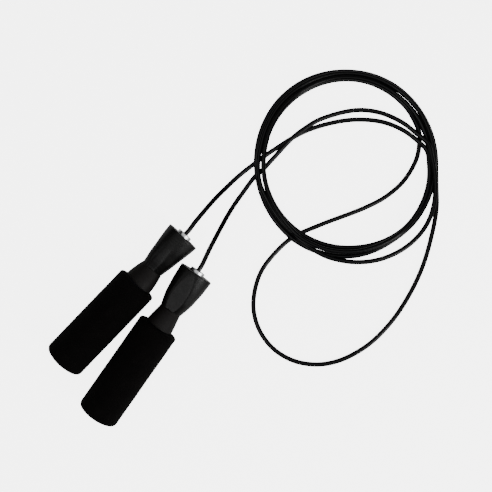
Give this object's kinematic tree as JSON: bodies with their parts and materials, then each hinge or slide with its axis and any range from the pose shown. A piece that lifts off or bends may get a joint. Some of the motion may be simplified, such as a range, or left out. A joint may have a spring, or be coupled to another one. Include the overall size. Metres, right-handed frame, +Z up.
{
  "type": "jump rope",
  "caption": "Jump rope with a long smooth cord, lying coiled, between foam-gripped handles whose flared, faceted noses turn on ball bearings.",
  "frame": {"origin": "on the floor, under the centre of the box round the two handles", "axes": "+Z up from the floor; the handles point towards +X and +Y, where the cord lies; +Y is the longer side of the box round the handles"},
  "size_m": [0.3265, 0.2986, 0.0355],
  "materials": {
    "handle_plastic": "satin",
    "foam": "matte",
    "cord": "gloss",
    "bearing_steel": "polished",
    "plated_steel": "satin",
    "ferrule": "satin"
  },
  "bodies": {
    "rope": {"cord_lead_a": "cord", "cord_crossing_a": "cord", "bearing_inner_ring_a": "bearing_steel", "stop_washer_a": "plated_steel", "cord_ferrule_a": "ferrule", "cord_lead_b": "cord", "cord_crossing_b": "cord", "bearing_inner_ring_b": "bearing_steel", "stop_washer_b": "plated_steel", "cord_ferrule_b": "ferrule", "cord_return": "cord", "cord_loop": "cord", "cord_coil": "cord"},
    "handle_a": {"handle_core_a": "handle_plastic", "foam_grip_a": "foam", "bearing_outer_ring_a": "bearing_steel", "bearing_front_shield_a": "bearing_steel", "bearing_rear_shield_a": "bearing_steel"},
    "balls_a": {"bearing_cage_a": "bearing_steel", "bearing_ball_a1": "bearing_steel", "bearing_ball_a2": "bearing_steel", "bearing_ball_a3": "bearing_steel", "bearing_ball_a4": "bearing_steel", "bearing_ball_a5": "bearing_steel", "bearing_ball_a6": "bearing_steel", "bearing_ball_a7": "bearing_steel"},
    "handle_b": {"handle_core_b": "handle_plastic", "foam_grip_b": "foam", "bearing_outer_ring_b": "bearing_steel", "bearing_front_shield_b": "bearing_steel", "bearing_rear_shield_b": "bearing_steel"},
    "balls_b": {"bearing_cage_b": "bearing_steel", "bearing_ball_b1": "bearing_steel", "bearing_ball_b2": "bearing_steel", "bearing_ball_b3": "bearing_steel", "bearing_ball_b4": "bearing_steel", "bearing_ball_b5": "bearing_steel", "bearing_ball_b6": "bearing_steel", "bearing_ball_b7": "bearing_steel"}
  },
  "joints": [
    {"name": "handle_a_spin", "type": "hinge", "parent": "rope", "child": "handle_a", "pos_m": [0.04395, 0.07334, 0.01775], "axis": [0.6934, 0.7206, 0], "continuous": true},
    {"name": "balls_a_orbit", "type": "hinge", "parent": "rope", "child": "balls_a", "pos_m": [0.04395, 0.07334, 0.01775], "axis": [0.6934, 0.7206, 0], "continuous": true},
    {"name": "handle_b_spin", "type": "hinge", "parent": "rope", "child": "handle_b", "pos_m": [0.05489, 0.0429, 0.01775], "axis": [0.575, 0.8181, 0], "continuous": true},
    {"name": "balls_b_orbit", "type": "hinge", "parent": "rope", "child": "balls_b", "pos_m": [0.05489, 0.0429, 0.01775], "axis": [0.575, 0.8181, 0], "continuous": true}
  ],
  "couplings": [
    {"joint": "balls_a_orbit", "follows": "handle_a_spin", "ratio": 0.61111},
    {"joint": "balls_b_orbit", "follows": "handle_b_spin", "ratio": 0.61111}
  ]
}
